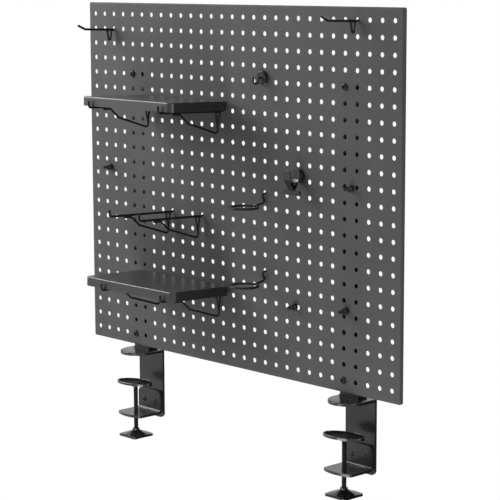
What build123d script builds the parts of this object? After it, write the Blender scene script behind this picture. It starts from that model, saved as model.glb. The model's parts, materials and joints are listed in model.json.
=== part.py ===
# Desk pegboard: a perforated steel panel on two posts, each standing on a screw clamp that grips
# the edge of a desk. Shelves on wire brackets, hooks, ring holders and magnets hang on the panel.
# Origin on the desk top at the desk's edge, midway between the clamps. X runs along the edge,
# -Y points to the user and Z up. Sizes in millimetres.
import os
from math import asin, atan2, cos, hypot, radians, sin, tan

from build123d import *

# Panel
hole_pitch = 25.4
hole_columns = 29
hole_rows = 23
hole_d = 7.9
side_margin = 17.0  # outer hole centres to the side edges
end_margin = 19.5  # outer hole centres to the top and bottom edges
sheet_t = 1.2
flange_depth = 7.0
panel_corner_r = 3.0
panel_edge_r = 2.0
panel_rise = 16.0  # bottom edge above the desk top
panel_setback = 35.0  # front face to the desk's edge

# Posts, with their bolts, spacers and feet
post_columns = (5, 25)
bolt_rows = (5, 23)
post_w = 40.0
post_depth = 10.0
post_t = 2.0
post_corner_r = 2.5
post_overrun = 12.0  # above the upper bolts
spacer_l = 9.8
spacer_d = 14.0
foot_t = 4.0
foot_depth = 21.0
foot_bolt_gap = 20.0  # between the two bolts of a foot
bolt_d = 6.0
bolt_hole_d = 6.4
bolt_head_d = 11.0
bolt_head_h = 3.3
socket_flats = 4.0
socket_depth = 0.6  # share of the head's height
nut_flats = 10.0
nut_h = 5.0
thread_clearance = 0.05  # radial, between a screw and its thread

# Clamps
clamp_shift = 3.0  # outward from the middle of the post
clamp_w = 64.0
clamp_t = 5.0
clamp_drop = 118.5  # desk top to the lower end of the plate
clamp_bend_r = 2.0  # inside
clamp_outer_r = 3.0
clamp_corner_r = 8.0
jaw_reach = 60.0  # desk's edge to the front of the upper jaw
jaw_edge_r = 1.2
lower_w = 61.0
lower_t = 4.5
lower_jaw_z = -106.8  # top face
lower_leg_h = 36.0  # jaw's top face to the leg's upper end
lower_bend_r = 3.0
lower_corner_r = 9.0
lower_front_r = 70.0
lower_front_corner_r = 5.0
lower_bolt_gap = 29.0
lower_bolt_h = 16.0  # above the jaw's top face
lower_bolt_head_d = 8.6
lower_bolt_head_h = 1.9
screw_d = 8.0
screw_reach = 36.0  # desk's edge to the screw's axis
opening = 51.0  # upper jaw to pad, as shown
pad_l = 75.0
pad_w = 43.0
pad_turn = 13.0  # degrees
pad_h = 4.0
pad_floor = 1.5
pad_rim = 2.2
pad_rim_r = 0.8
pad_pocket_l = 20.0
pad_pocket_w = 27.0
pad_pocket_gap = 15.0
pad_pocket_r = 7.0
pad_pocket_floor = 0.7
pad_hub_d = 14.0
pad_hub_h = 5.0
knob_side = 46.0
knob_hollow = 0.8  # how far each side curves in
knob_corner_r = 5.0
knob_tip_h = 4.5  # height at the points
knob_h = 11.0  # height at the neck
knob_edge_r = 1.2
knob_neck_d = 12.5
knob_neck_h = 3.0
screw_free_l = 25.0  # lower jaw to knob, as shown

# Bent wire
arm_d = 4.0
brace_d = 3.6
seat_gap = 0.3  # wire to hole edge, wire to panel, shelf to wire
weld_sink = 0.35
prong_gap = 1.8  # panel's back to the upturned end
prong_h = 17.0  # above the hole's centre
prong_bend_r = 4.5
arm_tilt = 1.7  # degrees
tip_gap = 1.5  # shelf to the upturned tips
bracket_tip_h = 11.5
bracket_tip_lean = 1.5
tip_bend_r = 4.0
brace_kink = 91.0
brace_weld_l = 15.0  # lies along the arm in front of the kink
brace_fall_l = 17.0  # kink to knee, along the arm
brace_knee_drop = 17.5
brace_foot = 14.5  # middle of the bend at the foot
brace_foot_drop = 31.5
brace_bend_r = 5.0
brace_top = 15.5
prop_d = 3.4
prop_top = 6.0
hook_reach = 63.0
hook_tip_l = 15.5
hook_tip_h = 7.0
hook_bend_r = 6.0
hook_leg_front = 14.6
hook_leg_back = 5.2
hook_leg_drop = 24.0
hook_leg_r = 2.2
ring_d = 46.0  # to the wire's centre
ring_drop = 20.0
ring_reach = 46.0  # panel to the ring's centre
ring_stem = 7.5
ring_stem_r = 3.5
ring_foot_drop = 13.0
ring_foot_r = 4.0

# Places on the panel, as column and row
free_bracket_places = {"left": (9, 14), "right": (12, 14)}
shelf_places = {"upper": (7, 14, 7), "lower": (8, 14, 19)}
hook_places = {"left": (3, 2), "right": (26, 1)}
ring_places = {"upper": (18, 12), "lower": (18, 17)}

# Shelves
shelf_w = 228.0
shelf_d = 126.5
shelf_h = 15.5
shelf_t = 1.2
shelf_corner_r = 10.0
shelf_edge_r = 2.0
shelf_back_gap = 6.0  # to the panel
shelf_shift = {"upper": -1.0, "lower": -13.0}  # right of the middle between its brackets

# Magnets: holder sizes, and places from the middle hole of the panel
magnet_gap = 0.2
magnet_fit = 0.1
cup_d = 22.0
cup_edge_r = 1.5
hook_cup_h = 5.0
clip_cup_h = 7.0
cup_magnet_d = 16.0
cup_magnet_h = 3.0
magnet_hook_place = (72.8, 184.3)
magnet_hook_d = 3.0
magnet_hook_stem = 6.0
magnet_hook_drop = 9.0
magnet_hook_throat = 10.0
magnet_hook_lip = 11.0
magnet_hook_r = 4.0
pin_places = {1: (-317.0, 11.5), 2: (269.7, 23.4), 3: (147.5, -177.0), 4: (259.6, -168.6)}
pin_d = 11.4
pin_body_h = 6.0
pin_edge_r = 1.2
pin_neck_d = 3.6
pin_ball_d = 6.2
pin_l = 18.5
pin_magnet_d = 8.0
pin_magnet_h = 2.5

# Spring clip on a magnet
clip_place = (156.8, 33.6)
lever_t = 1.5
lever_top = 9.5  # above the magnet's centre
lever_bend = 5.0  # below it
jaw_top = 21.5
jaw_bottom = 29.0
jaw_out = 11.0  # from the magnet to the jaws' meeting plane
jaw_gap = 0.3
handle_w = 16.0
handle_r = 5.0
neck_w = 12.0
jaw_w = 37.5
jaw_corner_r = 1.5
lever_r = 3.0
pivot_drop = 11.5
pivot_d = 3.0
lug_d = 6.5
lug_t = 1.2
lug_gap = 0.3
spring_d = 6.0
spring_wire = 1.0

# Derived places
panel_w = (hole_columns - 1) * hole_pitch + 2 * side_margin
panel_h = (hole_rows - 1) * hole_pitch + 2 * end_margin
face_y = -panel_setback
back_y = face_y + sheet_t
panel_mid_z = panel_rise + panel_h / 2
post_y = back_y + spacer_l
foot_bolt_y = post_y + post_depth + bolt_head_d / 2
lower_bolt_z = lower_jaw_z + lower_bolt_h
pad_z = -opening - pad_h
screw_top_z = pad_z - 1.0
knob_top_z = lower_jaw_z - lower_t - screw_free_l
lever_near = lever_t / 2
lever_far = jaw_out - jaw_gap / 2 - lever_t / 2
lever_slope = (lever_far - lever_near) / (jaw_top - lever_bend)
outer_lug = neck_w / 2 - lug_t
inner_lug = outer_lug - lug_gap - lug_t
brace_start = brace_kink + brace_weld_l
brace_knee = brace_kink - brace_fall_l
bracket_reach = shelf_back_gap + shelf_d + tip_gap + arm_d / 2
sides = ("left", "right")


def column_x(column):
    return (column - (hole_columns + 1) / 2) * hole_pitch


# Middle of the clamp under a post.
def clamp_x(column):
    x = column_x(column)
    return x + clamp_shift if x > 0 else x - clamp_shift


def row_z(row):
    return panel_rise + end_margin + (hole_rows - row) * hole_pitch


def rod(start, direction, length, d):
    return extrude(Plane(origin=start, z_dir=direction) * Circle(d / 2), length)


def hexagon(start, direction, length, flats):
    outline = RegularPolygon(flats / 2, 6, major_radius=False)
    return extrude(Plane(origin=start, z_dir=direction) * outline, length)


# Button-head bolt: its head stands on the plane at start, its shank runs along direction.
def bolt(start, direction, length, head_d=bolt_head_d, head_h=bolt_head_h):
    head = Cylinder(head_d / 2, head_h, align=(Align.CENTER, Align.CENTER, Align.MAX))
    head = fillet(head.edges().group_by(Axis.Z)[0], 0.7 * head_h)
    socket = hexagon((0, 0, -head_h), (0, 0, 1), socket_depth * head_h, socket_flats)
    shank = rod((0, 0, 0), (0, 0, 1), length, bolt_d)
    return Plane(origin=start, z_dir=direction).location * (head - socket + shank)


def nut(start, direction):
    bore = rod(start, direction, nut_h, bolt_d + 2 * thread_clearance)
    return hexagon(start, direction, nut_h, nut_flats) - bore


def group(solids):
    return Compound(children=list(solids))


# Panel: a sheet with all its holes, set into a rim with folded edges.
def make_panel():
    front = Plane(origin=(0, face_y, panel_mid_z), x_dir=(1, 0, 0), z_dir=(0, 1, 0))
    rim = extrude(front * RectangleRounded(panel_w, panel_h, panel_corner_r), flange_depth)
    rim = fillet(rim.faces().sort_by(Axis.Y)[0].edges(), panel_edge_r)
    rim = offset(rim, -sheet_t, openings=rim.faces().sort_by(Axis.Y)[-1])
    inset = panel_edge_r + panel_corner_r
    window = front * Rectangle(panel_w - 2 * inset, panel_h - 2 * inset)
    holes = []
    for column in range(1, hole_columns + 1):
        for row in range(1, hole_rows + 1):
            centre = (column_x(column), face_y, row_z(row))
            holes.append(Wire.make_circle(hole_d / 2, Plane(origin=centre, z_dir=(0, 1, 0))))
    sheet = Face(window.face().outer_wire(), holes)
    return rim - extrude(window, sheet_t) + extrude(sheet, sheet_t, dir=(0, 1, 0))


# Post: a shallow channel, open at the back, welded to a foot plate.
def make_post(column):
    x = column_x(column)
    foot_z = clamp_t + foot_t
    height = row_z(min(bolt_rows)) + post_overrun - foot_z
    middle = Pos(x, post_y + post_depth / 2, foot_z)
    outer = extrude(middle * Rectangle(post_w, post_depth), height)
    front_edges = outer.edges().filter_by(Axis.Z).group_by(Axis.Y)[0]
    outer = fillet(front_edges, post_corner_r)
    inner = Pos(0, post_t) * middle * Rectangle(post_w - 2 * post_t, post_depth)
    post = outer - extrude(inner, height)
    foot = Pos(x, post_y + foot_depth / 2, clamp_t) * Rectangle(post_w, foot_depth)
    post += extrude(foot, foot_t)
    for row in bolt_rows:
        post -= rod((x, post_y, row_z(row)), (0, 1, 0), post_t, bolt_hole_d)
    for shift in (-foot_bolt_gap / 2, foot_bolt_gap / 2):
        post -= rod((clamp_x(column) + shift, foot_bolt_y, clamp_t), (0, 0, 1), foot_t, bolt_hole_d)
    return post


def panel_bolt_points():
    return [(column_x(column), row_z(row)) for column in post_columns for row in bolt_rows]


def make_panel_bolts():
    grip = sheet_t + spacer_l + post_t + nut_h + 1.0
    return group(bolt((x, face_y, z), (0, 1, 0), grip) for x, z in panel_bolt_points())


def make_panel_nuts():
    return group(nut((x, post_y + post_t, z), (0, 1, 0)) for x, z in panel_bolt_points())


def make_spacers():
    sleeves = []
    for x, z in panel_bolt_points():
        bore = rod((x, back_y, z), (0, 1, 0), spacer_l, bolt_hole_d)
        sleeves.append(rod((x, back_y, z), (0, 1, 0), spacer_l, spacer_d) - bore)
    return group(sleeves)


def foot_bolt_points():
    shifts = (-foot_bolt_gap / 2, foot_bolt_gap / 2)
    return [clamp_x(column) + shift for column in post_columns for shift in shifts]


def make_foot_bolts():
    seat_z = clamp_t + foot_t
    length = foot_t + clamp_t - 0.5
    return group(bolt((x, foot_bolt_y, seat_z), (0, 0, -1), length) for x in foot_bolt_points())


# Bent plate: an L profile in the YZ plane, cut to a round front.
def bent_plate(x, profile, width, front_r):
    plate = extrude(Plane.YZ.offset(x - width / 2) * profile, width)
    low, high = plate.bounding_box().min, plate.bounding_box().max
    outline = Pos(x, low.Y + front_r) * Circle(front_r)
    rest = high.Y - low.Y - front_r
    if rest > 0:
        outline += Pos(x, high.Y - rest / 2) * Rectangle(width, rest)
    return plate & extrude(Pos(0, 0, low.Z) * outline, high.Z - low.Z)


def lower_bolt_points():
    shifts = (-lower_bolt_gap / 2, lower_bolt_gap / 2)
    return [clamp_x(column) + shift for column in post_columns for shift in shifts]


# Clamp body: the upper jaw lies on the desk, the plate hangs down behind its edge.
def make_clamp(x):
    corners = [
        (-jaw_reach, 0),
        (0, 0),
        (0, -clamp_drop),
        (clamp_t, -clamp_drop),
        (clamp_t, clamp_t),
        (-jaw_reach, clamp_t),
    ]
    profile = make_face(Polyline(*corners, close=True))
    profile = fillet(profile.vertices().sort_by_distance((0, 0))[0], clamp_bend_r)
    profile = fillet(profile.vertices().sort_by_distance((clamp_t, clamp_t))[0], clamp_outer_r)
    clamp = bent_plate(x, profile, clamp_w, clamp_w / 2)
    clamp = fillet(clamp.edges().filter_by(Axis.Y).group_by(Axis.Z)[0], clamp_corner_r)
    rim = clamp.edges().filter_by(GeomType.CIRCLE).group_by(Axis.Y)[0].sort_by(Axis.Z)[-1]
    clamp = fillet(rim, jaw_edge_r)
    thread_d = bolt_d + 2 * thread_clearance
    for shift in (-foot_bolt_gap / 2, foot_bolt_gap / 2):
        clamp -= rod((x + shift, foot_bolt_y, 0), (0, 0, 1), clamp_t, thread_d)
    for shift in (-lower_bolt_gap / 2, lower_bolt_gap / 2):
        clamp -= rod((x + shift, 0, lower_bolt_z), (0, 1, 0), clamp_t, bolt_hole_d)
    return clamp


# Lower jaw: a second bent plate on the front of the clamp body, tapped for the screw.
def make_lower_jaw(x):
    base = lower_jaw_z - lower_t
    reach = jaw_reach - (clamp_w - lower_w) / 2
    corners = [
        (-reach, base),
        (0, base),
        (0, lower_jaw_z + lower_leg_h),
        (-lower_t, lower_jaw_z + lower_leg_h),
        (-lower_t, lower_jaw_z),
        (-reach, lower_jaw_z),
    ]
    profile = make_face(Polyline(*corners, close=True))
    inside = profile.vertices().sort_by_distance((-lower_t, lower_jaw_z))[0]
    profile = fillet(inside, lower_bend_r)
    outside = profile.vertices().sort_by_distance((0, base))[0]
    profile = fillet(outside, lower_bend_r + lower_t)
    jaw = bent_plate(x, profile, lower_w, lower_front_r)
    jaw = fillet(jaw.edges().filter_by(Axis.Y).group_by(Axis.Z)[-1], lower_corner_r)
    jaw = fillet(jaw.edges().filter_by(Axis.Z).group_by(Axis.Y)[0], lower_front_corner_r)
    jaw -= rod((x, -screw_reach, base), (0, 0, 1), lower_t, screw_d + 2 * thread_clearance)
    for shift in (-lower_bolt_gap / 2, lower_bolt_gap / 2):
        jaw -= rod((x + shift, -lower_t, lower_bolt_z), (0, 1, 0), lower_t, bolt_hole_d)
    return jaw


def make_jaw_bolts():
    length = lower_t + clamp_t + nut_h + 1.0
    bolts = []
    for x in lower_bolt_points():
        start = (x, -lower_t, lower_bolt_z)
        bolts.append(bolt(start, (0, 1, 0), length, lower_bolt_head_d, lower_bolt_head_h))
    return group(bolts)


def make_jaw_nuts():
    return group(nut((x, clamp_t, lower_bolt_z), (0, 1, 0)) for x in lower_bolt_points())


# Pad: an oval dish with two pockets and a hub that turns on the screw's end.
def make_pad(x):
    centre = Pos(x, -screw_reach, pad_z) * Rot(Z=pad_turn)
    pad = extrude(centre * Ellipse(pad_l / 2, pad_w / 2), pad_h)
    dish = centre * Ellipse(pad_l / 2 - pad_rim, pad_w / 2 - pad_rim)
    pad -= Pos(0, 0, pad_floor) * extrude(dish, pad_h - pad_floor)
    pad = fillet(pad.faces().sort_by(Axis.Z)[-1].edges(), pad_rim_r)
    pocket = RectangleRounded(pad_pocket_l, pad_pocket_w, pad_pocket_r)
    for side in (-1, 1):
        shift = side * (pad_pocket_gap + pad_pocket_l) / 2
        pad -= extrude(centre * Pos(shift, 0, pad_pocket_floor) * pocket, pad_h)
    pad += rod((x, -screw_reach, pad_z), (0, 0, -1), pad_hub_h, pad_hub_d)
    bore_l = pad_hub_h - (pad_z - screw_top_z) + thread_clearance
    bore = rod((x, -screw_reach, pad_z - pad_hub_h), (0, 0, 1), bore_l, screw_d + 2 * thread_clearance)
    return pad - bore


def make_screw(x):
    return rod((x, -screw_reach, screw_top_z), (0, 0, -1), screw_top_z - knob_top_z + knob_neck_h, screw_d)


# Knob: four blunt points under a hollow top that rises to a neck.
def make_knob(x):
    half = knob_side / 2
    dip = half - knob_hollow
    corners = [(half, half), (-half, half), (-half, -half), (half, -half)]
    middles = [(0, dip), (-dip, 0), (0, -dip), (dip, 0)]
    edges = []
    for number, middle in enumerate(middles):
        edges.append(ThreePointArc(corners[number], middle, corners[(number + 1) % 4]))
    star = fillet(make_face(edges).vertices(), knob_corner_r)
    rim_r = knob_side
    neck_r = knob_neck_d / 2
    top = knob_h + knob_neck_h
    sag = (0.45 * rim_r, knob_tip_h + 0.12 * (knob_h - knob_tip_h))
    slope = ThreePointArc((rim_r, knob_tip_h), sag, (neck_r, knob_h))
    rest = Polyline((neck_r, knob_h), (neck_r, top), (0, top), (0, 0), (rim_r, 0), (rim_r, knob_tip_h))
    turned = revolve(Plane.XZ * make_face([slope, rest]), Axis.Z)
    body = turned & extrude(star, top)
    body = fillet(body.faces().sort_by(Axis.Z)[0].edges(), knob_edge_r)
    bore = rod((0, 0, knob_h), (0, 0, 1), knob_neck_h, screw_d + 2 * thread_clearance)
    return Pos(x, -screw_reach, knob_top_z - top) * (body - bore)


# Wires lie in a plane across the panel: a point is its distance in front of the panel's face
# and its height above the hole's centre.
def space(place, point):
    column, row = place
    return (column_x(column), face_y - point[0], row_z(row) + point[1])


def wire(place, points, radii, d):
    path = FilletPolyline(*[space(place, point) for point in points], radius=radii)
    return sweep(Plane(origin=path @ 0, z_dir=path % 0) * Circle(d / 2), path=path)


def round_end(solid, end, d):
    rim = solid.edges().filter_by(GeomType.CIRCLE).sort_by_distance(end)[0]
    return fillet(rim, 0.4 * d)


# Height of an arm's centre line: it lies on the hole's lower edge and rises to the front.
def arm_h(d, distance):
    return -hole_d / 2 + seat_gap + d / 2 + distance * tan(radians(arm_tilt))


def prong_out(d):
    return -(sheet_t + prong_gap + d / 2)


# Corner of the two lines from start and end that touch a circle on its far side.
def touching_corner(start, centre, radius, end):
    lines = []
    for point, turn in ((start, 1), (end, -1)):
        reach = (centre[0] - point[0], centre[1] - point[1])
        angle = atan2(reach[1], reach[0]) + turn * asin(radius / hypot(*reach))
        lines.append((point, (cos(angle), sin(angle))))
    (p, u), (q, v) = lines
    step = ((q[0] - p[0]) * v[1] - (q[1] - p[1]) * v[0]) / (u[0] * v[1] - u[1] * v[0])
    return (p[0] + step * u[0], p[1] + step * u[1])


# Shelf bracket: an arm with an upturned tip, a brace that bends into a leg, and a prop behind it.
def make_bracket(place):
    back = prong_out(arm_d)
    front_h = arm_h(arm_d, bracket_reach)
    tip = (bracket_reach + bracket_tip_lean, front_h + bracket_tip_h)
    arm_points = [(back, prong_h), (back, arm_h(arm_d, back)), (bracket_reach, front_h), tip]
    arm = wire(place, arm_points, [prong_bend_r, tip_bend_r], arm_d)
    arm = round_end(arm, space(place, tip), arm_d)
    arm = round_end(arm, space(place, arm_points[0]), arm_d)
    below = (arm_d + brace_d) / 2 - weld_sink
    kink = (brace_kink, arm_h(arm_d, brace_kink) - below)
    knee = (brace_knee, -brace_knee_drop)
    leg_top = (brace_top, arm_h(arm_d, brace_top))
    foot = (brace_foot, -brace_foot_drop)
    corner = touching_corner(knee, foot, brace_bend_r, leg_top)
    brace_points = [(brace_start, arm_h(arm_d, brace_start) - below), kink, knee, corner, leg_top]
    brace = wire(place, brace_points, brace_bend_r, brace_d)
    low = (brace_foot - brace_bend_r * cos(radians(30)), -brace_foot_drop - brace_bend_r * sin(radians(30)))
    prop = Line(space(place, low), space(place, (prop_top, arm_h(arm_d, prop_top))))
    return arm + brace + rod(prop @ 0, prop % 0, prop.length, prop_d)


# Straight hook: an arm with a slanted tip, and a leg bent to a narrow V.
def make_hook(place):
    back = prong_out(arm_d)
    front_h = arm_h(arm_d, hook_reach)
    tip = (hook_reach + hook_tip_l, front_h + hook_tip_h)
    arm_points = [(back, prong_h), (back, arm_h(arm_d, back)), (hook_reach, front_h), tip]
    arm = wire(place, arm_points, [prong_bend_r, hook_bend_r], arm_d)
    arm = round_end(arm, space(place, tip), arm_d)
    arm = round_end(arm, space(place, arm_points[0]), arm_d)
    half = (hook_leg_front - hook_leg_back) / 2
    depth = hook_leg_drop - brace_d / 2
    sink = hook_leg_r * (hypot(half, depth) / half - 1)
    leg_points = [
        (hook_leg_front, arm_h(arm_d, hook_leg_front)),
        (hook_leg_back + half, -depth - sink),
        (hook_leg_back, arm_h(arm_d, hook_leg_back)),
    ]
    return arm + wire(place, leg_points, hook_leg_r, brace_d)


# Ring holder: a stem that turns down, stands on the panel and carries a level ring.
def make_ring(place):
    back = prong_out(brace_d)
    seat_h = -hole_d / 2 + seat_gap + brace_d / 2
    stem = (ring_stem, seat_h)
    ring_back = (ring_reach - ring_d / 2, -ring_drop)
    foot = (brace_d / 2 + seat_gap + ring_foot_r, -ring_foot_drop)
    corner = touching_corner(ring_back, foot, ring_foot_r, stem)
    points = [(back, prong_h), (back, seat_h), stem, corner, ring_back]
    arm = wire(place, points, [prong_bend_r, ring_stem_r, ring_foot_r], brace_d)
    arm = round_end(arm, space(place, points[0]), brace_d)
    centre = space(place, (ring_reach, -ring_drop))
    return arm + Pos(*centre) * Torus(ring_d / 2, arm_d / 2)


# Shelf: a flat top with folded-down edges, lying on its two brackets behind their tips.
def make_shelf(name):
    first, last, row = shelf_places[name]
    x = (column_x(first) + column_x(last)) / 2 + shelf_shift[name]
    outline = Pos(0, -shelf_d / 2) * RectangleRounded(shelf_w, shelf_d, shelf_corner_r)
    shelf = extrude(outline, shelf_h)
    shelf = fillet(shelf.faces().sort_by(Axis.Z)[-1].edges(), shelf_edge_r)
    shelf = offset(shelf, -shelf_t, openings=shelf.faces().sort_by(Axis.Z)[0])
    lift = (arm_d / 2 + seat_gap) / cos(radians(arm_tilt))
    z = row_z(row) + arm_h(arm_d, shelf_back_gap) + lift
    return Pos(x, face_y - shelf_back_gap, z) * Rot(X=-arm_tilt) * shelf


# Magnets stand on the panel's face. A place is measured from the panel's middle hole.
def on_panel(place):
    x, z = place
    origin = (x, face_y - magnet_gap, row_z((hole_rows + 1) / 2) + z)
    return Plane(origin=origin, x_dir=(1, 0, 0), z_dir=(0, -1, 0))


def make_cup(place, height):
    cup = Cylinder(cup_d / 2, height, align=(Align.CENTER, Align.CENTER, Align.MIN))
    cup = fillet(cup.edges().group_by(Axis.Z)[-1], cup_edge_r)
    pocket = rod((0, 0, 0), (0, 0, 1), cup_magnet_h + magnet_fit, cup_magnet_d + 2 * magnet_fit)
    return on_panel(place).location * (cup - pocket)


def make_cup_magnet(place):
    return on_panel(place).location * rod((0, 0, 0), (0, 0, 1), cup_magnet_h, cup_magnet_d)


def make_magnet_hook():
    out = hook_cup_h + magnet_hook_stem
    front = out + magnet_hook_throat
    low = -magnet_hook_drop
    points = [(hook_cup_h, 0), (out, 0), (out, low), (front, low), (front, low + magnet_hook_lip)]
    base = on_panel(magnet_hook_place)
    path = FilletPolyline(*[base.from_local_coords((0, h, f)) for f, h in points], radius=magnet_hook_r)
    hook = sweep(Plane(origin=path @ 0, z_dir=path % 0) * Circle(magnet_hook_d / 2), path=path)
    return round_end(hook, path @ 1, magnet_hook_d)


# Push pin: a drum, a tapered neck and a ball, turned about the panel's normal.
def make_pin(place):
    ball_z = pin_l - pin_ball_d / 2
    neck_z = ball_z - 0.8 * pin_ball_d / 2
    drum = Cylinder(pin_d / 2, pin_body_h, align=(Align.CENTER, Align.CENTER, Align.MIN))
    drum = fillet(drum.edges(), pin_edge_r)
    neck_h = neck_z - pin_body_h
    neck = Cone(pin_d / 2 - pin_edge_r, pin_neck_d / 2, neck_h, align=(Align.CENTER, Align.CENTER, Align.MIN))
    stem = rod((0, 0, neck_z), (0, 0, 1), ball_z - neck_z, pin_neck_d)
    pin = drum + Pos(0, 0, pin_body_h) * neck + stem + Pos(0, 0, ball_z) * Sphere(pin_ball_d / 2)
    pocket = rod((0, 0, 0), (0, 0, 1), pin_magnet_h + magnet_fit, pin_magnet_d + 2 * magnet_fit)
    return on_panel(place).location * (pin - pocket)


def make_pin_magnet(place):
    return on_panel(place).location * rod((0, 0, 0), (0, 0, 1), pin_magnet_h, pin_magnet_d)


# Clip lever, in the clip's own frame: X along the jaws, Y up, Z out from the magnet's holder.
# Both levers are the same bent strip, the front one turned to face the back one.
def make_lever(lug_x):
    strip = FilletPolyline(
        (lever_top, lever_near),
        (-lever_bend, lever_near),
        (-jaw_top, lever_far),
        (-jaw_bottom, lever_far),
        radius=lever_r,
    )
    side = Plane(origin=(-jaw_w / 2, 0, 0), x_dir=(0, 1, 0), z_dir=(1, 0, 0))
    lever = extrude(side * trace(strip, lever_t), jaw_w)
    handle = RectangleRounded(handle_w, lever_top + lever_bend, handle_r)
    outline = Pos(0, (lever_top - lever_bend) / 2) * handle
    outline += Pos(0, -(lever_bend + jaw_top) / 2) * Rectangle(neck_w, jaw_top - lever_bend + 2 * lever_r)
    bar = RectangleRounded(jaw_w, jaw_bottom - jaw_top, jaw_corner_r)
    outline += Pos(0, -(jaw_top + jaw_bottom) / 2) * bar
    lever &= extrude(outline, jaw_out)
    level = lever_near + (pivot_drop - lever_bend) * lever_slope
    rise = lug_d / 2
    web = make_face(
        Polyline(
            (-pivot_drop + rise, level - rise * lever_slope),
            (-pivot_drop + rise, jaw_out),
            (-pivot_drop - rise, jaw_out),
            (-pivot_drop - rise, level + rise * lever_slope),
            close=True,
        )
    )
    lug_outline = web + Pos(-pivot_drop, jaw_out) * Circle(lug_d / 2)
    for x in (lug_x, -lug_x - lug_t):
        lever += extrude(side.offset(jaw_w / 2 + x) * lug_outline, lug_t)
    bore = rod((-jaw_w / 2, -pivot_drop, jaw_out), (1, 0, 0), jaw_w, pivot_d + 2 * thread_clearance)
    return lever - bore


def clip_location():
    base = on_panel(clip_place)
    return Plane(origin=base.from_local_coords((0, 0, clip_cup_h)), x_dir=base.x_dir, z_dir=base.z_dir).location


def make_clip_back():
    return clip_location() * make_lever(outer_lug)


def make_clip_front():
    facing = Pos(0, 0, 2 * jaw_out) * Rot(Y=180)
    return clip_location() * facing * make_lever(inner_lug)


def make_clip_pivot():
    half = neck_w / 2 + 0.5
    return clip_location() * rod((-half, -pivot_drop, jaw_out), (1, 0, 0), 2 * half, pivot_d)


# Spring: the outer shape of its turns round the pivot, with the leg that bears on the back lever.
def make_clip_spring():
    width = 2 * (inner_lug - lug_gap)
    start = (-width / 2, -pivot_drop, jaw_out)
    turns = rod(start, (1, 0, 0), width, spring_d)
    drop = pivot_drop - (spring_d - spring_wire) / 2
    slant = lever_t / 2 * hypot(1, lever_slope) + spring_wire / 2 * lever_slope
    leg_end = lever_near + (drop - lever_bend) * lever_slope + slant
    leg = rod((0, -drop, leg_end), (0, 0, 1), jaw_out - leg_end, spring_wire)
    bore = rod(start, (1, 0, 0), width, pivot_d + 0.4)
    return clip_location() * (turns + leg - bore)


parts = {"panel": make_panel()}
for side, column in zip(sides, post_columns):
    x = clamp_x(column)
    parts["post_" + side] = make_post(column)
    parts["clamp_" + side] = make_clamp(x)
    parts["lower_jaw_" + side] = make_lower_jaw(x)
    parts["screw_" + side] = make_screw(x)
    parts["knob_" + side] = make_knob(x)
    parts["pad_" + side] = make_pad(x)
parts["spacers"] = make_spacers()
parts["panel_bolts"] = make_panel_bolts()
parts["panel_nuts"] = make_panel_nuts()
parts["foot_bolts"] = make_foot_bolts()
parts["jaw_bolts"] = make_jaw_bolts()
parts["jaw_nuts"] = make_jaw_nuts()
for name, (first, last, row) in shelf_places.items():
    parts["shelf_" + name] = make_shelf(name)
    parts["bracket_" + name + "_left"] = make_bracket((first, row))
    parts["bracket_" + name + "_right"] = make_bracket((last, row))
for side, place in free_bracket_places.items():
    parts["bracket_middle_" + side] = make_bracket(place)
for side, place in hook_places.items():
    parts["hook_" + side] = make_hook(place)
for name, place in ring_places.items():
    parts["ring_" + name] = make_ring(place)
parts["magnet_hook_base"] = make_cup(magnet_hook_place, hook_cup_h)
parts["magnet_hook_magnet"] = make_cup_magnet(magnet_hook_place)
parts["magnet_hook"] = make_magnet_hook()
parts["clip_base"] = make_cup(clip_place, clip_cup_h)
parts["clip_magnet"] = make_cup_magnet(clip_place)
parts["clip_back"] = make_clip_back()
parts["clip_front"] = make_clip_front()
parts["clip_pivot"] = make_clip_pivot()
parts["clip_spring"] = make_clip_spring()
for number, place in pin_places.items():
    parts["push_pin_" + str(number)] = make_pin(place)
    parts["push_pin_" + str(number) + "_magnet"] = make_pin_magnet(place)

os.makedirs("parts", exist_ok=True)
for name, shape in parts.items():
    export_step(shape, os.path.join("parts", name + ".step"))
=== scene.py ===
import json
import math
import random

import bmesh
import bpy
from mathutils import Matrix, Vector


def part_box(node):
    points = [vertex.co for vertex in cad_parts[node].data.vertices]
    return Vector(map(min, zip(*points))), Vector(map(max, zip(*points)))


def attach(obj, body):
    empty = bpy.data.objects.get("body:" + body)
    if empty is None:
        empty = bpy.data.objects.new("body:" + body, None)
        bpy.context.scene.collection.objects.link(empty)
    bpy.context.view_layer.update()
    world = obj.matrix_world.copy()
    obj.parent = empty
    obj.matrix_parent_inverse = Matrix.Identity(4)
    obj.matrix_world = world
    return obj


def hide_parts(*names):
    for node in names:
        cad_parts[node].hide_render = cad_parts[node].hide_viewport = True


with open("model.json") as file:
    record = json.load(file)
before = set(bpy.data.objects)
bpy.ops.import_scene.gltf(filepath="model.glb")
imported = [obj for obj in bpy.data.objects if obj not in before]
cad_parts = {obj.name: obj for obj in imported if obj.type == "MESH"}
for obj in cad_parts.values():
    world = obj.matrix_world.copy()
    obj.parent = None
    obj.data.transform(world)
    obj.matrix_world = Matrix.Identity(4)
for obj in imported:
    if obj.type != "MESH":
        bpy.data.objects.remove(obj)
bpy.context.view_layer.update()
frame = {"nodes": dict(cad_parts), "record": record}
nodes = frame["nodes"]
print("frame:", len(nodes), "nodes")

# Camera, at the place that fits the hole grid
camera = {
    "place": (2.1505, -2.0023, 0.6682),
    "azimuth": 47.0,  # degrees, from straight in front towards the right
    "elevation": 8.88,
    "roll": -0.194,
    "focalPixels": 1789.6,
    "imagePixels": 500,
    "sensorWidth": 36,
    "farthest": 50,
}


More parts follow.
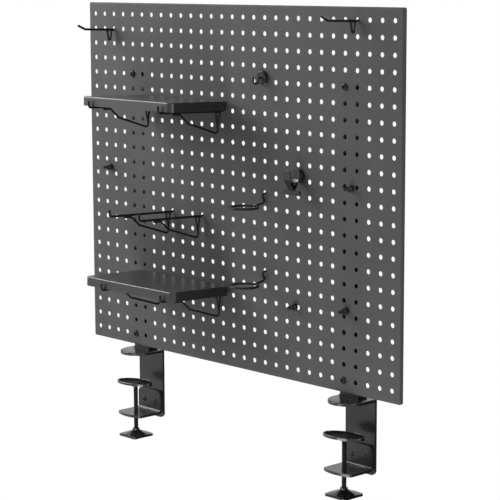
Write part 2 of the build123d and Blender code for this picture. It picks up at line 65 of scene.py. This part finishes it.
def addCamera(spec):
    azimuth, elevation, roll = (math.radians(spec[key]) for key in ("azimuth", "elevation", "roll"))
    back = Vector((
        math.sin(azimuth) * math.cos(elevation),
        -math.cos(azimuth) * math.cos(elevation),
        math.sin(elevation),
    ))
    level = Vector((0, 0, 1)).cross(back).normalized()
    upright = back.cross(level)
    right = level * math.cos(roll) + upright * math.sin(roll)
    up = upright * math.cos(roll) - level * math.sin(roll)
    data = bpy.data.cameras.new("camera")
    data.sensor_width = spec["sensorWidth"]
    data.lens = spec["focalPixels"] / spec["imagePixels"] * data.sensor_width
    data.clip_end = spec["farthest"]
    viewer = bpy.data.objects.new("camera", data)
    turned = Matrix((right, up, back)).transposed().to_4x4()
    viewer.matrix_world = Matrix.Translation(spec["place"]) @ turned
    bpy.context.scene.collection.objects.link(viewer)
    bpy.context.scene.camera = viewer


addCamera(camera)
bpy.context.scene.view_settings.view_transform = "Standard"
print("camera set")

# Studio: a pale floor far below the clamps, soft boxes, white all round, a dark flag behind at the right
studio = {
    "floorHeight": -0.73,
    "floorSize": 40,
    "floorColour": (0.82, 0.82, 0.82, 1),
    "worldLight": 0.15,
    "boxes": [
        {"name": "keyBox", "place": (-1.45, -0.8, 1.3), "aim": (-0.2, 0, 0.3), "size": 1.4, "watts": 56},
        {"name": "sideBox", "place": (-2.6, -2.0, 0.5), "aim": (-0.2, 0, 0.3), "size": 1.6, "watts": 5},
        {"name": "rightBox", "place": (2.6, -0.5, 0.7), "aim": (0.2, 0, 0.3), "size": 1.4, "watts": 30},
        {"name": "lowBox", "place": (0.2, -0.9, -0.5), "aim": (0.1, 0, 0.1), "size": 0.7, "watts": 8},
        {"name": "topBox", "place": (-0.3, -0.9, 2.6), "aim": (0, 0, 0.2), "size": 1.6, "watts": 4},
        {"name": "backBox", "place": (0.5, 2.4, 1.2), "aim": (0, 0, 0.3), "size": 1.6, "watts": 30},
    ],
    "flag": {"place": (1.0, 0.85, 0.1), "size": (2.0, 1.66), "colour": (0.01, 0.01, 0.01, 1), "rough": 0.9},
}


# One shader for what the camera and reflections see, the other for the light that falls on the object
def splitSeen(tree, seen, other):
    rays = tree.nodes.new("ShaderNodeLightPath")
    either = tree.nodes.new("ShaderNodeMath")
    either.operation = "MAXIMUM"
    tree.links.new(rays.outputs["Is Camera Ray"], either.inputs[0])
    tree.links.new(rays.outputs["Is Glossy Ray"], either.inputs[1])
    mix = tree.nodes.new("ShaderNodeMixShader")
    tree.links.new(either.outputs[0], mix.inputs[0])
    tree.links.new(other, mix.inputs[1])
    tree.links.new(seen, mix.inputs[2])
    return mix.outputs[0]


def addWorld(spec):
    world = bpy.data.worlds.new("studio")
    bpy.context.scene.world = world
    world.use_nodes = True
    tree = world.node_tree
    tree.nodes.clear()
    white = tree.nodes.new("ShaderNodeBackground")
    white.inputs["Strength"].default_value = 1
    white.inputs["Color"].default_value = (1, 1, 1, 1)
    light = tree.nodes.new("ShaderNodeBackground")
    light.inputs["Color"].default_value = (1, 1, 1, 1)
    light.inputs["Strength"].default_value = spec["worldLight"]
    out = tree.nodes.new("ShaderNodeOutputWorld")
    tree.links.new(splitSeen(tree, white.outputs[0], light.outputs[0]), out.inputs["Surface"])


def makeCard(name, corners):
    mesh = bpy.data.meshes.new(name)
    mesh.from_pydata(corners, [], [(0, 1, 2, 3)])
    card = bpy.data.objects.new(name, mesh)
    bpy.context.scene.collection.objects.link(card)
    return card


def addFloor(spec):
    half = spec["floorSize"] / 2
    corners = [(-half, -half), (half, -half), (half, half), (-half, half)]
    floor = makeCard("floor", [(x, y, spec["floorHeight"]) for x, y in corners])
    paper = bpy.data.materials.new("floorPaper")
    paper.use_nodes = True
    tree = paper.node_tree
    tree.nodes.clear()
    diffuse = tree.nodes.new("ShaderNodeBsdfDiffuse")
    diffuse.inputs["Color"].default_value = spec["floorColour"]
    glow = tree.nodes.new("ShaderNodeEmission")
    glow.inputs["Strength"].default_value = 1
    out = tree.nodes.new("ShaderNodeOutputMaterial")
    tree.links.new(splitSeen(tree, glow.outputs[0], diffuse.outputs[0]), out.inputs["Surface"])
    floor.data.materials.append(paper)


# Seen only in reflections
def addFlag(spec):
    place = Vector(spec["place"])
    width, height = spec["size"]
    along = Vector((place.y, -place.x, 0)).normalized() * width / 2
    up = Vector((0, 0, height / 2))
    corners = [place - along - up, place + along - up, place + along + up, place - along + up]
    flag = makeCard("flag", corners)
    flag.visible_camera = False
    flag.visible_diffuse = False
    flag.visible_shadow = False
    flag.visible_transmission = False
    cloth = bpy.data.materials.new("flagCloth")
    cloth.use_nodes = True
    shader = cloth.node_tree.nodes["Principled BSDF"]
    shader.inputs["Base Color"].default_value = spec["colour"]
    shader.inputs["Roughness"].default_value = spec["rough"]
    flag.data.materials.append(cloth)


def addBox(spec):
    data = bpy.data.lights.new(spec["name"], "AREA")
    data.shape = "DISK"
    data.size = spec["size"]
    data.energy = spec["watts"]
    lamp = bpy.data.objects.new(spec["name"], data)
    lamp.location = spec["place"]
    aim = Vector(spec["aim"]) - Vector(spec["place"])
    lamp.rotation_euler = aim.to_track_quat("-Z", "Y").to_euler()
    bpy.context.scene.collection.objects.link(lamp)


addWorld(studio)
addFloor(studio)
addFlag(studio["flag"])
for box in studio["boxes"]:
    addBox(box)
print("studio lit:", len(studio["boxes"]), "boxes")


# Shader groups. Each puts out masks and heights that the finishes below use.
# In their dictionaries a noise is its detail and roughness, and steps are where a mask starts and is full.
def newGroup(name, inputs, outputs):
    group = bpy.data.node_groups.new(name, "ShaderNodeTree")
    for label, value in inputs.items():
        socket = group.interface.new_socket(name=label, in_out="INPUT", socket_type="NodeSocketFloat")
        socket.default_value = value
    for label in outputs:
        group.interface.new_socket(name=label, in_out="OUTPUT", socket_type="NodeSocketFloat")
    start = group.nodes.new("NodeGroupInput")
    end = group.nodes.new("NodeGroupOutput")
    return group, start.outputs, end.inputs


def setOrLink(tree, socket, value):
    if isinstance(value, (int, float)):
        socket.default_value = value
    else:
        tree.links.new(value, socket)


def addMath(tree, operation, first, second):
    node = tree.nodes.new("ShaderNodeMath")
    node.operation = operation
    setOrLink(tree, node.inputs[0], first)
    setOrLink(tree, node.inputs[1], second)
    return node.outputs[0]


def addNoise(tree, vector, scale, detail, rough):
    node = tree.nodes.new("ShaderNodeTexNoise")
    node.inputs["Detail"].default_value = detail
    node.inputs["Roughness"].default_value = rough
    tree.links.new(vector, node.inputs["Vector"])
    setOrLink(tree, node.inputs["Scale"], scale)
    return node.outputs["Fac"]


def addSteps(tree, value, low, high):
    node = tree.nodes.new("ShaderNodeMapRange")
    node.interpolation_type = "SMOOTHSTEP"
    node.inputs["From Min"].default_value = low
    node.inputs["From Max"].default_value = high
    tree.links.new(value, node.inputs["Value"])
    return node.outputs["Result"]


def blend(tree, first, firstShare, second, secondShare):
    firstPart = addMath(tree, "MULTIPLY", first, firstShare)
    secondPart = addMath(tree, "MULTIPLY", second, secondShare)
    return addMath(tree, "ADD", firstPart, secondPart)


def objectPlace(tree):
    return tree.nodes.new("ShaderNodeTexCoord").outputs["Object"]


# How far the surface faces up
def facingUp(tree, steps):
    geometry = tree.nodes.new("ShaderNodeNewGeometry")
    split = tree.nodes.new("ShaderNodeSeparateXYZ")
    tree.links.new(geometry.outputs["Normal"], split.inputs[0])
    return addSteps(tree, split.outputs["Z"], *steps)


# Baked powder: fine beads, a soft peel over them, and slow changes of shade
powderGrain = {
    "beadScale": 1500,
    "beadNoise": (1.5, 0.6),
    "beadSteps": (0.32, 0.68),
    "beadShare": 0.55,  # of the height
    "peelScale": 420,
    "peelNoise": (1.0, 0.4),
    "peelShare": 0.45,
    "shadeScale": 9.0,
    "shadeNoise": (3.0, 0.55),
    "shadeSteps": (0.3, 0.7),
}


def makePowderGroup(spec):
    scales = {"Bead Scale": spec["beadScale"], "Peel Scale": spec["peelScale"]}
    group, start, end = newGroup("powderCoat", scales, ["Beads", "Shade", "Height"])
    place = objectPlace(group)
    beads = addNoise(group, place, start["Bead Scale"], *spec["beadNoise"])
    peel = addNoise(group, place, start["Peel Scale"], *spec["peelNoise"])
    shade = addNoise(group, place, spec["shadeScale"], *spec["shadeNoise"])
    height = blend(group, beads, spec["beadShare"], peel, spec["peelShare"])
    group.links.new(addSteps(group, beads, *spec["beadSteps"]), end["Beads"])
    group.links.new(addSteps(group, shade, *spec["shadeSteps"]), end["Shade"])
    group.links.new(height, end["Height"])
    return group


# Edges worn by hands and fittings, broken up so that they never run as a clean line. On the pads the same
# mask also paints a highlight along the rim.
edgeRubAndHighlight = {
    "reach": 0.0008,
    "samples": 4,
    "sharpSteps": (0.02, 0.2),
    "patchScale": 260,
    "patchNoise": (3.0, 0.6),
    "patchSteps": (0.42, 0.62),
    "polish": -0.08,  # added to the roughness of a coat
}


def makeEdgeGroup(spec):
    sizes = {"Reach": spec["reach"], "Break Up": spec["patchScale"]}
    group, start, end = newGroup("edgeRubAndHighlight", sizes, ["Edge"])
    bevel = group.nodes.new("ShaderNodeBevel")
    bevel.samples = spec["samples"]
    group.links.new(start["Reach"], bevel.inputs["Radius"])
    geometry = group.nodes.new("ShaderNodeNewGeometry")
    dot = group.nodes.new("ShaderNodeVectorMath")
    dot.operation = "DOT_PRODUCT"
    group.links.new(bevel.outputs["Normal"], dot.inputs[0])
    group.links.new(geometry.outputs["Normal"], dot.inputs[1])
    sharp = addSteps(group, addMath(group, "SUBTRACT", 1.0, dot.outputs["Value"]), *spec["sharpSteps"])
    noise = addNoise(group, objectPlace(group), start["Break Up"], *spec["patchNoise"])
    patches = addSteps(group, noise, *spec["patchSteps"])
    group.links.new(addMath(group, "MULTIPLY", sharp, patches), end["Edge"])
    return group


# Settled dust on what faces up
settledDust = {
    "colour": (0.3, 0.29, 0.28),
    "facingSteps": (0.35, 0.95),
    "cloudScale": 24.0,
    "cloudNoise": (4.0, 0.6),
    "cloudSteps": (0.35, 0.75),
    "cloudShare": 0.6,
    "speckScale": 700,
    "speckNoise": (2.0, 0.6),
    "speckSteps": (0.55, 0.75),
    "speckShare": 0.4,
}


def makeDustGroup(spec):
    group, start, end = newGroup("settledDust", {"Speck Scale": spec["speckScale"]}, ["Dust"])
    facing = facingUp(group, spec["facingSteps"])
    place = objectPlace(group)
    cloudNoise = addNoise(group, place, spec["cloudScale"], *spec["cloudNoise"])
    speckNoise = addNoise(group, place, start["Speck Scale"], *spec["speckNoise"])
    clouds = addSteps(group, cloudNoise, *spec["cloudSteps"])
    specks = addSteps(group, speckNoise, *spec["speckSteps"])
    cover = blend(group, clouds, spec["cloudShare"], specks, spec["speckShare"])
    group.links.new(addMath(group, "MULTIPLY", facing, cover), end["Dust"])
    return group


# Hairline marks, long one way, for plated and blackened steel and worn plastic
hairlines = {
    "fine": 900,
    "stretch": 0.06,
    "noise": (3.0, 0.65),
    "steps": (0.35, 0.7),
}


def makeHairlineGroup(spec):
    sizes = {"Fine": spec["fine"], "Stretch": spec["stretch"]}
    group, start, end = newGroup("hairlines", sizes, ["Lines", "Height"])
    squeeze = group.nodes.new("ShaderNodeCombineXYZ")
    squeeze.inputs["X"].default_value = 1
    squeeze.inputs["Y"].default_value = 1
    group.links.new(start["Stretch"], squeeze.inputs["Z"])
    scaled = group.nodes.new("ShaderNodeVectorMath")
    scaled.operation = "MULTIPLY"
    group.links.new(objectPlace(group), scaled.inputs[0])
    group.links.new(squeeze.outputs[0], scaled.inputs[1])
    lines = addNoise(group, scaled.outputs[0], start["Fine"], *spec["noise"])
    group.links.new(addSteps(group, lines, *spec["steps"]), end["Lines"])
    group.links.new(lines, end["Height"])
    return group


# The sunk floor of a dish: faces up, and lies below the rim
dishFloor = {
    "facingSteps": (0.8, 0.98),
    "rimSteps": (0.84, 0.94),  # shares of the piece's height
}


def makeFloorGroup(spec):
    group, _, end = newGroup("dishFloor", {}, ["Floor"])
    facing = facingUp(group, spec["facingSteps"])
    place = group.nodes.new("ShaderNodeSeparateXYZ")
    group.links.new(group.nodes.new("ShaderNodeTexCoord").outputs["Generated"], place.inputs[0])
    below = addMath(group, "SUBTRACT", 1.0, addSteps(group, place.outputs["Z"], *spec["rimSteps"]))
    group.links.new(addMath(group, "MULTIPLY", facing, below), end["Floor"])
    return group


groups = {
    "powder": makePowderGroup(powderGrain),
    "edge": makeEdgeGroup(edgeRubAndHighlight),
    "dust": makeDustGroup(settledDust),
    "hairline": makeHairlineGroup(hairlines),
    "floor": makeFloorGroup(dishFloor),
}
print("shader groups:", ", ".join(groups))


def placeGroup(tree, key, values):
    node = tree.nodes.new("ShaderNodeGroup")
    node.node_tree = groups[key]
    for label, value in values.items():
        node.inputs[label].default_value = value
    return node.outputs


def mixColour(tree, factor, first, second):
    node = tree.nodes.new("ShaderNodeMix")
    node.data_type = "RGBA"
    tree.links.new(factor, node.inputs["Factor"])
    for socket, value in ((node.inputs[6], first), (node.inputs[7], second)):  # the two colours
        if isinstance(value, tuple):
            socket.default_value = (*value, 1)
        else:
            tree.links.new(value, socket)
    return node.outputs[2]


def spread(tree, value, low, high):
    node = tree.nodes.new("ShaderNodeMapRange")
    node.inputs["To Min"].default_value = low
    node.inputs["To Max"].default_value = high
    tree.links.new(value, node.inputs["Value"])
    return node.outputs["Result"]


def startFinish(name, specular):
    material = bpy.data.materials.new(name)
    material.use_nodes = True
    tree = material.node_tree
    tree.nodes.clear()
    shader = tree.nodes.new("ShaderNodeBsdfPrincipled")
    shader.inputs["Specular IOR Level"].default_value = specular
    out = tree.nodes.new("ShaderNodeOutputMaterial")
    tree.links.new(shader.outputs[0], out.inputs["Surface"])
    return material, tree, shader


bumpDepth = {"coat": 0.0004, "steel": 0.0002, "moulded": 0.0003}


def addBump(tree, shader, height, strength, depth):
    bump = tree.nodes.new("ShaderNodeBump")
    bump.inputs["Strength"].default_value = strength
    bump.inputs["Distance"].default_value = depth
    tree.links.new(height, bump.inputs["Height"])
    tree.links.new(bump.outputs["Normal"], shader.inputs["Normal"])


# Powder-coated steel, in the shades of the panel, the shelves, the clamps and the wires
def makeCoat(name, spec):
    material, tree, shader = startFinish(name, spec["specular"])
    powder = placeGroup(tree, "powder", {"Bead Scale": spec["beadScale"], "Peel Scale": spec["peelScale"]})
    edge = placeGroup(tree, "edge", {"Reach": spec["edgeReach"]})
    dust = placeGroup(tree, "dust", {})
    colour = mixColour(tree, powder["Shade"], spec["dark"], spec["light"])
    beads = mixColour(tree, spread(tree, powder["Beads"], 0, spec["beadTint"]), colour, spec["beadColour"])
    rubbedAndHighlit = mixColour(tree, spread(tree, edge["Edge"], 0, spec["edgeTint"]), beads, spec["edgeColour"])
    dustShare = spread(tree, dust["Dust"], 0, spec["dustTint"])
    dusty = mixColour(tree, dustShare, rubbedAndHighlit, settledDust["colour"])
    tree.links.new(dusty, shader.inputs["Base Color"])
    polish = spread(tree, edge["Edge"], 0, edgeRubAndHighlight["polish"])
    rough = addMath(tree, "ADD", spread(tree, powder["Beads"], *spec["rough"]), polish)
    tree.links.new(rough, shader.inputs["Roughness"])
    addBump(tree, shader, powder["Height"], spec["bump"], bumpDepth["coat"])
    return material


panelCoat = makeCoat("panelCoat", {
    "dark": (0.05, 0.051, 0.0525),
    "light": (0.058, 0.059, 0.0605),
    "beadColour": (0.09, 0.091, 0.0935),
    "beadTint": 0.3,
    "edgeColour": (0.16, 0.16, 0.165),
    "edgeTint": 0.5,
    "edgeReach": 0.0009,
    "dustTint": 0.1,
    "rough": (0.5, 0.62),
    "specular": 0.12,
    "bump": 0.3,
    "beadScale": 1300,
    "peelScale": 380,
})
shelfCoat = makeCoat("shelfCoat", {
    "dark": (0.007, 0.007, 0.0073),
    "light": (0.011, 0.011, 0.0115),
    "beadColour": (0.03, 0.03, 0.031),
    "beadTint": 0.3,
    "edgeColour": (0.09, 0.09, 0.093),
    "edgeTint": 0.5,
    "edgeReach": 0.0009,
    "dustTint": 0.05,
    "rough": (0.3, 0.42),
    "specular": 0.42,
    "bump": 0.25,
    "beadScale": 1300,
    "peelScale": 420,
})
clampCoat = makeCoat("clampCoat", {
    "dark": (0.006, 0.006, 0.0063),
    "light": (0.01, 0.01, 0.0105),
    "beadColour": (0.02, 0.02, 0.021),
    "beadTint": 0.35,
    "edgeColour": (0.1, 0.1, 0.105),
    "edgeTint": 0.55,
    "edgeReach": 0.001,
    "dustTint": 0.06,
    "rough": (0.2, 0.3),
    "specular": 0.42,
    "bump": 0.05,
    "beadScale": 1100,
    "peelScale": 320,
})
wireCoat = makeCoat("wireCoat", {
    "dark": (0.006, 0.006, 0.0063),
    "light": (0.01, 0.01, 0.0104),
    "beadColour": (0.02, 0.02, 0.021),
    "beadTint": 0.3,
    "edgeColour": (0.06, 0.06, 0.062),
    "edgeTint": 0.3,
    "edgeReach": 0.0004,
    "dustTint": 0.05,
    "rough": (0.2, 0.32),
    "specular": 0.12,
    "bump": 0.15,
    "beadScale": 1600,
    "peelScale": 600,
})


# Steel, blackened or plated, with hairline marks
def makeSteel(name, spec):
    material, tree, shader = startFinish(name, spec["specular"])
    hair = placeGroup(tree, "hairline", {"Fine": spec["fine"], "Stretch": spec["stretch"]})
    edge = placeGroup(tree, "edge", {"Reach": spec["edgeReach"]})
    colour = mixColour(tree, hair["Lines"], spec["dark"], spec["light"])
    rubbedAndHighlit = mixColour(tree, spread(tree, edge["Edge"], 0, spec["edgeTint"]), colour, spec["edgeColour"])
    tree.links.new(rubbedAndHighlit, shader.inputs["Base Color"])
    tree.links.new(spread(tree, hair["Lines"], *spec["rough"]), shader.inputs["Roughness"])
    shader.inputs["Metallic"].default_value = spec["metallic"]
    addBump(tree, shader, hair["Height"], spec["bump"], bumpDepth["steel"])
    return material


blackSteel = makeSteel("blackSteel", {
    "dark": (0.006, 0.006, 0.0063),
    "light": (0.014, 0.014, 0.0147),
    "edgeColour": (0.1, 0.1, 0.103),
    "edgeTint": 0.6,
    "edgeReach": 0.0004,
    "rough": (0.24, 0.38),
    "metallic": 0.1,
    "specular": 0.15,
    "bump": 0.12,
    "fine": 900,
    "stretch": 0.3,
})
zincPlate = makeSteel("zincPlate", {
    "dark": (0.42, 0.43, 0.44),
    "light": (0.6, 0.61, 0.62),
    "edgeColour": (0.75, 0.75, 0.76),
    "edgeTint": 0.5,
    "edgeReach": 0.0004,
    "rough": (0.25, 0.42),
    "metallic": 1.0,
    "specular": 0.5,
    "bump": 0.1,
    "fine": 700,
    "stretch": 0.5,
})
magnetPlate = makeSteel("magnetPlate", {
    "dark": (0.55, 0.55, 0.56),
    "light": (0.7, 0.7, 0.71),
    "edgeColour": (0.85, 0.85, 0.86),
    "edgeTint": 0.4,
    "edgeReach": 0.0003,
    "rough": (0.16, 0.28),
    "metallic": 1.0,
    "specular": 0.5,
    "bump": 0.06,
    "fine": 500,
    "stretch": 1.0,
})

# Moulded black plastic, glossy or satin, with a faint grain, fine rub marks and a little dust; on the pads
# the light edge colour is also a painted highlight along the rim
mouldedMarks = {"fine": 1400, "stretch": 0.8, "dustTint": 0.05}


def makeMoulded(name, spec):
    material, tree, shader = startFinish(name, spec["specular"])
    powder = placeGroup(tree, "powder", {"Bead Scale": spec["grainScale"], "Peel Scale": spec["peelScale"]})
    hair = placeGroup(tree, "hairline", {"Fine": mouldedMarks["fine"], "Stretch": mouldedMarks["stretch"]})
    edge = placeGroup(tree, "edge", {"Reach": spec["edgeReach"]})
    dust = placeGroup(tree, "dust", {})
    colour = mixColour(tree, powder["Shade"], spec["dark"], spec["light"])
    # Lighter edges: wear, and on the pads a painted highlight along the rim
    rubbedAndHighlit = mixColour(tree, spread(tree, edge["Edge"], 0, spec["edgeTint"]), colour, spec["edgeColour"])
    dustShare = spread(tree, dust["Dust"], 0, mouldedMarks["dustTint"])
    dusty = mixColour(tree, dustShare, rubbedAndHighlit, settledDust["colour"])
    tree.links.new(dusty, shader.inputs["Base Color"])
    rough = spread(tree, hair["Lines"], *spec["rough"])
    if "floorRough" in spec:  # a dull floor inside a glossy rim
        floor = placeGroup(tree, "floor", {})["Floor"]
        rough = addMath(tree, "ADD", rough, spread(tree, floor, 0, spec["floorRough"]))
        tree.links.new(spread(tree, floor, spec["coat"], 0), shader.inputs["Coat Weight"])
        shader.inputs["Coat Roughness"].default_value = spec["coatRough"]
    tree.links.new(rough, shader.inputs["Roughness"])
    addBump(tree, shader, powder["Height"], spec["bump"], bumpDepth["moulded"])
    return material


glossBlack = makeMoulded("glossBlack", {
    "dark": (0.004, 0.004, 0.0042),
    "light": (0.007, 0.007, 0.0073),
    "edgeColour": (0.04, 0.04, 0.042),
    "edgeTint": 0.4,
    "edgeReach": 0.0005,
    "rough": (0.08, 0.16),
    "specular": 0.35,
    "bump": 0.1,
    "grainScale": 1500,
    "peelScale": 500,
})
padBlack = makeMoulded("padBlack", {
    "dark": (0.003, 0.003, 0.0031),
    "light": (0.005, 0.005, 0.0052),
    # Light edge colour: a painted highlight along the rim, as well as wear
    "edgeColour": (0.12, 0.12, 0.125),
    "edgeTint": 0.6,
    "edgeReach": 0.0009,
    "rough": (0.08, 0.16),
    "specular": 0.05,
    "coat": 1.0,
    "coatRough": 0.12,
    "floorRough": 0.5,
    "bump": 0.1,
    "grainScale": 1500,
    "peelScale": 500,
})
satinBlack = makeMoulded("satinBlack", {
    "dark": (0.009, 0.009, 0.0095),
    "light": (0.015, 0.015, 0.0155),
    "edgeColour": (0.06, 0.06, 0.062),
    "edgeTint": 0.4,
    "edgeReach": 0.0005,
    "rough": (0.24, 0.38),
    "specular": 0.18,
    "bump": 0.2,
    "grainScale": 1800,
    "peelScale": 600,
})

# A name that ends in an underscore stands for every node that starts with it, and a later row wins
pinMagnets = [f"push_pin_{number}_magnet" for number in range(1, 5)]
finishes = [
    (panelCoat, ["panel"]),
    (shelfCoat, ["shelf_"]),
    (clampCoat, ["clamp_", "lower_jaw_", "post_", "jaw_bolts"]),
    (wireCoat, ["bracket_", "hook_", "ring_", "magnet_hook"]),
    (blackSteel, ["panel_bolts", "foot_bolts", "screw_"]),
    (zincPlate, ["panel_nuts", "jaw_nuts", "spacers", "clip_pivot", "clip_spring"]),
    (padBlack, ["pad_"]),
    (glossBlack, ["knob_", "clip_back", "clip_front"]),
    (satinBlack, ["push_pin_", "clip_base", "magnet_hook_base"]),
    (magnetPlate, ["magnet_hook_magnet", "clip_magnet"] + pinMagnets),
]


def dressNodes():
    chosen = {}
    for material, starts in finishes:
        for name in nodes:
            for start in starts:
                if name == start or (start.endswith("_") and name.startswith(start)):
                    chosen[name] = material
    for name, node in nodes.items():
        node.data.materials.clear()
        node.data.materials.append(chosen[name])
    print("finishes on", len(chosen), "nodes")


dressNodes()


def addPiece(name, mesh, body, material):
    piece = bpy.data.objects.new(name, mesh)
    bpy.context.scene.collection.objects.link(piece)
    piece.data.materials.append(material)
    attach(piece, body)
    return piece


# A closed round bar through rings of points
def skinRings(name, rings):
    mesh = bpy.data.meshes.new(name)
    draft = bmesh.new()
    loops = [[draft.verts.new(point) for point in ring] for ring in rings]
    for below, above in zip(loops, loops[1:]):
        for step in range(len(below)):
            after = (step + 1) % len(below)
            draft.faces.new((below[step], below[after], above[after], above[step]))
    draft.faces.new(list(reversed(loops[0])))
    draft.faces.new(loops[-1])
    for face in draft.faces:
        face.smooth = len(face.verts) == 4
    draft.to_mesh(mesh)
    draft.free()
    return mesh


# Clamp screws: a cut thread in place of the plain rods
thread = {
    "pitch": 0.00125,
    "depth": 0.0007,
    "flat": 0.12,  # root and crest, each as a share of the pitch
    "around": 22,
    "perTurn": 6,
    "lead": 0.0012,  # chamfer at each end
    "leadDepth": 1.3,  # in thread depths
}


def threadProfile(phase, flat):
    ramp = abs((phase % 1) * 2 - 1)
    return min(1, max(0, (ramp - flat) / (1 - 2 * flat)))


def makeThread(name, low, high, spec):
    centre = (low + high) / 2
    radius = (high.x - low.x) / 2
    rows = int((high.z - low.z) / spec["pitch"] * spec["perTurn"])
    rings = []
    for row in range(rows + 1):
        z = low.z + (high.z - low.z) * row / rows
        ends = min(z - low.z, high.z - z) / spec["lead"]
        chamfered = radius - spec["depth"] * spec["leadDepth"] * max(0, 1 - ends)
        ring = []
        for step in range(spec["around"]):
            turn = step / spec["around"]
            profile = threadProfile((z - low.z) / spec["pitch"] - turn, spec["flat"])
            reach = min(radius - spec["depth"] * (1 - profile), chamfered)
            angle = 2 * math.pi * turn
            ring.append((centre.x + reach * math.cos(angle), centre.y + reach * math.sin(angle), z))
        rings.append(ring)
    return skinRings(name, rings)


for side in ("left", "right"):
    node = "screw_" + side
    mesh = makeThread("thread", *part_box(node), thread)
    screw = addPiece("threaded_screw_" + side, mesh, node, blackSteel)
    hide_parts(node)
print("threads cut")

# Clip spring: wound wire with a leg to the back lever
spring = {
    "wire": 0.0009,
    "sides": 10,
    "coil": 0.0050,  # diameter, to the middle of the wire
    "turns": 5,
    "around": 18,
}


# Round wire along a path
def makeWire(name, points, radius, sides):
    rings = []
    across = (points[1] - points[0]).normalized().orthogonal().normalized()
    for index, point in enumerate(points):
        ahead = (points[min(index + 1, len(points) - 1)] - points[max(index - 1, 0)]).normalized()
        across = (across - ahead * across.dot(ahead)).normalized()
        other = ahead.cross(across)
        ring = []
        for step in range(sides):
            angle = 2 * math.pi * step / sides
            ring.append(point + (across * math.cos(angle) + other * math.sin(angle)) * radius)
        rings.append(ring)
    return skinRings(name, rings)


def makeSpring(spec):
    low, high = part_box("clip_spring")
    pinLow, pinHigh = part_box("clip_pivot")
    centre = (pinLow + pinHigh) / 2
    half = (high.x - low.x) / 2 - spec["wire"] / 2
    radius = spec["coil"] / 2
    top = Vector((0, 0, radius))
    legBack = Vector((centre.x - half, high.y - spec["wire"] / 2, centre.z)) + top
    points = [legBack, Vector((centre.x - half, centre.y + radius, centre.z)) + top]
    steps = spec["turns"] * spec["around"]
    for step in range(steps + 1):
        angle = 2 * math.pi * step / spec["around"]
        x = centre.x - half + 2 * half * step / steps
        points.append(Vector((x, centre.y - radius * math.sin(angle), centre.z + radius * math.cos(angle))))
    return makeWire("clipSpring", points, spec["wire"] / 2, spec["sides"])


coil = addPiece("clip_coil", makeSpring(spring), "clip", zincPlate)
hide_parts("clip_spring")
print("spring wound")

# Weld beads where the wires meet. A point is its distance in front of the panel and its height
# above the hole's centre. A run joins two points, once on each side of the wire.
welds = {
    "bead": 0.00095,
    "beadSizes": (0.85, 1.2),
    "beadForm": (0.75, 1.15),  # width and length, in bead sizes
    "unevenness": 0.08,
    "spacing": 0.0011,
    "halfWire": 0.0016,
    "faceY": -0.035,
    "rowCount": 23,
    "lastRowHeight": 0.0355,
    "rowPitch": 0.0254,
    "runs": {
        "bracket": [
            ((0.1045, -0.0010), (0.0930, -0.0013)),
            ((0.0170, -0.0029), (0.0136, -0.0031)),
            ((0.0080, -0.0032), (0.0042, -0.0033)),
            ((0.0096, -0.0316), (0.0092, -0.0280)),
        ],
        "hook": [
            ((0.0164, -0.0030), (0.0129, -0.0031)),
            ((0.0070, -0.0032), (0.0036, -0.0033)),
        ],
        "ring": [((0.0224, -0.0186), (0.0248, -0.0186))],
    },
    "holeRows": {  # counted from the top
        "bracket_upper_left": 7,
        "bracket_upper_right": 7,
        "bracket_middle_left": 14,
        "bracket_middle_right": 14,
        "bracket_lower_left": 19,
        "bracket_lower_right": 19,
        "hook_left": 2,
        "hook_right": 1,
        "ring_upper": 12,
        "ring_lower": 17,
    },
}


def rowHeight(row, spec):
    return spec["lastRowHeight"] + (spec["rowCount"] - row) * spec["rowPitch"]


def makeWelds(name, node, row, runs, spec):
    low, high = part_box(node)
    middle = (low.x + high.x) / 2
    hole = rowHeight(row, spec)
    width, length = spec["beadForm"]
    chance = random.Random(name)
    draft = bmesh.new()
    for (startOut, startUp), (endOut, endUp) in runs:
        count = max(2, round(math.hypot(endOut - startOut, endUp - startUp) / spec["spacing"]))
        for side in (-1, 1):
            for step in range(count + 1):
                share = step / count
                out = startOut + (endOut - startOut) * share
                up = startUp + (endUp - startUp) * share
                size = spec["bead"] * chance.uniform(*spec["beadSizes"])
                spot = Vector((middle + side * spec["halfWire"], spec["faceY"] - out, hole + up))
                shape = Matrix.Translation(spot) @ Matrix.Diagonal((width * size, length * size, size, 1))
                bead = bmesh.ops.create_icosphere(draft, subdivisions=2, radius=1, matrix=shape)
                for vert in bead["verts"]:
                    vert.co += (vert.co - spot) * chance.uniform(-spec["unevenness"], spec["unevenness"])
    for face in draft.faces:
        face.smooth = True
    mesh = bpy.data.meshes.new(name)
    draft.to_mesh(mesh)
    draft.free()
    return mesh


bodyOf = {node: body for body, held in frame["record"]["behaviour"]["bodies"].items() for node in held}
for node, row in welds["holeRows"].items():
    name = "welds_" + node
    runs = welds["runs"][node.split("_")[0]]
    addPiece(name, makeWelds(name, node, row, runs, welds), bodyOf[node], wireCoat)
print("welds laid")
